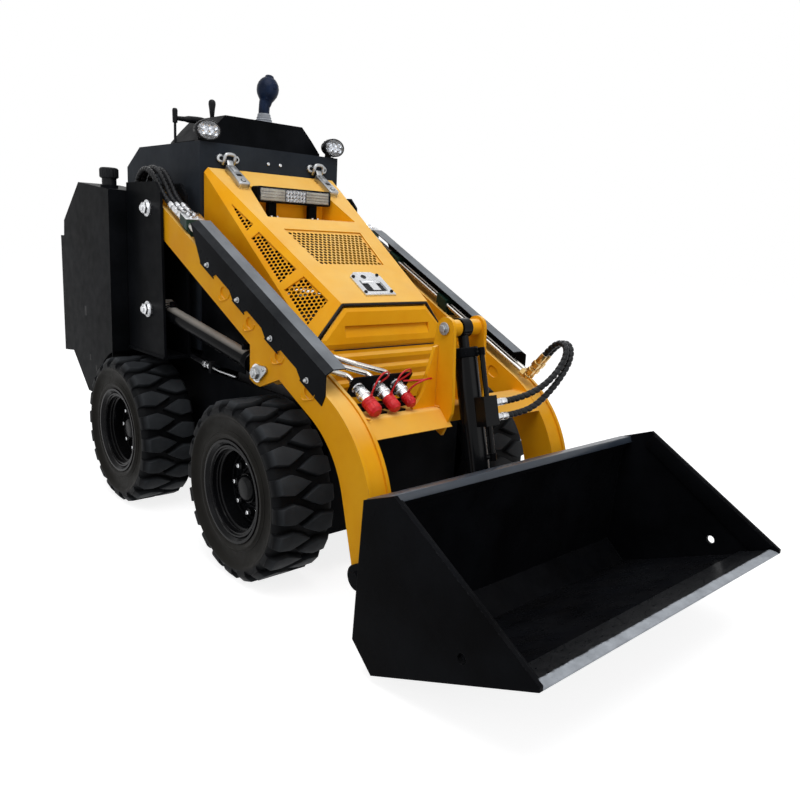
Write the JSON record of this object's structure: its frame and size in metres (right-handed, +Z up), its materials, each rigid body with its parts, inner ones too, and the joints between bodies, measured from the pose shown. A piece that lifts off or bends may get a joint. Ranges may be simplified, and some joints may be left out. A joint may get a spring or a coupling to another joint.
{
  "type": "skid steer loader",
  "caption": "Stand-on wheeled compact loader: tilting bucket on low-slung lift arms, rear towers, sloped vented hood, lugged tyres, side tanks, control console and fold-up rear platform.",
  "frame": {"origin": "on the ground, under the middle of the machine's bounding box", "axes": "+Z up, the machine faces -Y, +X is its left-hand side"},
  "size_m": [1.176, 2.844, 1.7239],
  "materials": {
    "black_paint": "gloss black enamel",
    "body_paint": "satin orange-yellow enamel, a little worn",
    "bright_steel": "zinc-plated steel",
    "dark_plastic": "moulded black plastic",
    "edge_steel": "bare worn steel",
    "engine_iron": "cast iron",
    "grille_steel": "black perforated sheet",
    "hose_rubber": "black hydraulic hose",
    "red_plastic": "red rubbery plastic",
    "rim_paint": "black enamel",
    "rod_chrome": "hard chrome",
    "tyre_rubber": "black tyre rubber"
  },
  "bodies": {
    "chassis": {"frame": "black_paint", "axles": "black_paint", "towers": "black_paint", "tower_pins": "bright_steel", "dash_box": "black_paint", "console": "dark_plastic", "joystick": "dark_plastic", "levers": "dark_plastic", "work_lamps": "dark_plastic", "front_cover": "body_paint", "engine": "engine_iron", "side_tanks": "black_paint", "filler_caps": "dark_plastic", "boom_hoses": "hose_rubber"},
    "arms": {"arm_left": "body_paint", "arm_right": "body_paint", "cross_member": "body_paint", "arm_pins": "bright_steel", "arm_covers": "black_paint", "coupler_plate": "black_paint", "couplers": "bright_steel", "coupler_caps": "red_plastic", "arm_tubes": "bright_steel", "tube_clamps": "dark_plastic"},
    "lift_barrels": {"lift_barrels": "black_paint"},
    "lift_rods": {"lift_rods": "rod_chrome"},
    "bucket": {"bucket": "black_paint", "cutting_edge": "edge_steel", "attach_plate": "black_paint"},
    "tilt_barrel": {"tilt_barrel": "black_paint"},
    "tilt_rod": {"tilt_rod": "rod_chrome", "tilt_hoses": "hose_rubber"},
    "hood": {"hood": "body_paint", "hood_grille": "grille_steel", "light_bar": "black_paint", "hood_fittings": "bright_steel"},
    "platform": {"platform": "black_paint"},
    "wheel_front_left": {"tyre_front_left": "tyre_rubber", "rim_front_left": "rim_paint"},
    "wheel_front_right": {"tyre_front_right": "tyre_rubber", "rim_front_right": "rim_paint"},
    "wheel_rear_left": {"tyre_rear_left": "tyre_rubber", "rim_rear_left": "rim_paint"},
    "wheel_rear_right": {"tyre_rear_right": "tyre_rubber", "rim_rear_right": "rim_paint"}
  },
  "joints": [
    {"name": "wheel_front_left_spin", "type": "hinge", "parent": "chassis", "child": "wheel_front_left", "pos_m": [0.465, -0.168, 0.296], "axis": [1, 0, 0], "continuous": true},
    {"name": "wheel_front_right_spin", "type": "hinge", "parent": "chassis", "child": "wheel_front_right", "pos_m": [-0.465, -0.168, 0.296], "axis": [1, 0, 0], "continuous": true},
    {"name": "wheel_rear_left_spin", "type": "hinge", "parent": "chassis", "child": "wheel_rear_left", "pos_m": [0.465, 0.732, 0.296], "axis": [1, 0, 0], "continuous": true},
    {"name": "wheel_rear_right_spin", "type": "hinge", "parent": "chassis", "child": "wheel_rear_right", "pos_m": [-0.465, 0.732, 0.296], "axis": [1, 0, 0], "continuous": true},
    {"name": "arm_lift", "type": "hinge", "parent": "chassis", "child": "arms", "pos_m": [0, 0.623, 1.173], "axis": [-1, 0, 0], "range_deg": [0, 70], "deforming": ["boom_hoses"]},
    {"name": "lift_barrel_swing", "type": "hinge", "parent": "chassis", "child": "lift_barrels", "pos_m": [0, 0.631, 0.792], "axis": [-1, 0, 0], "range_deg": [-1, 62.99]},
    {"name": "lift_rod_slide", "type": "slide", "parent": "lift_barrels", "child": "lift_rods", "axis": [0, -0.9871, -0.1598], "range_m": [-0.002, 0.4248]},
    {"name": "bucket_tilt", "type": "hinge", "parent": "arms", "child": "bucket", "pos_m": [0, -0.693, 0.175], "axis": [1, 0, 0], "range_deg": [-5, 65]},
    {"name": "tilt_barrel_swing", "type": "hinge", "parent": "bucket", "child": "tilt_barrel", "pos_m": [0, -0.726, 0.338], "axis": [1, 0, 0], "range_deg": [-75.58, 6.74]},
    {"name": "tilt_rod_slide", "type": "slide", "parent": "tilt_barrel", "child": "tilt_rod", "axis": [0, 0.2425, 0.9701], "range_m": [-0.0133, 0.1492], "deforming": ["tilt_hoses"]},
    {"name": "hood_hinge", "type": "hinge", "parent": "chassis", "child": "hood", "pos_m": [0, -0.226, 0.752], "axis": [1, 0, 0], "range_deg": [0, 45]},
    {"name": "platform_hinge", "type": "hinge", "parent": "chassis", "child": "platform", "pos_m": [0, 1.144, 0.25], "axis": [1, 0, 0], "range_deg": [0, 80]}
  ],
  "couplings": [
    {"joint": "lift_barrel_swing", "follows": "arm_lift", "ratio": 0.8856},
    {"joint": "lift_rod_slide", "follows": "arm_lift", "m_per_rad": 0.34603},
    {"joint": "tilt_barrel_swing", "follows": "bucket_tilt", "ratio": -1.1474},
    {"joint": "tilt_rod_slide", "follows": "bucket_tilt", "m_per_rad": 0.12977}
  ]
}
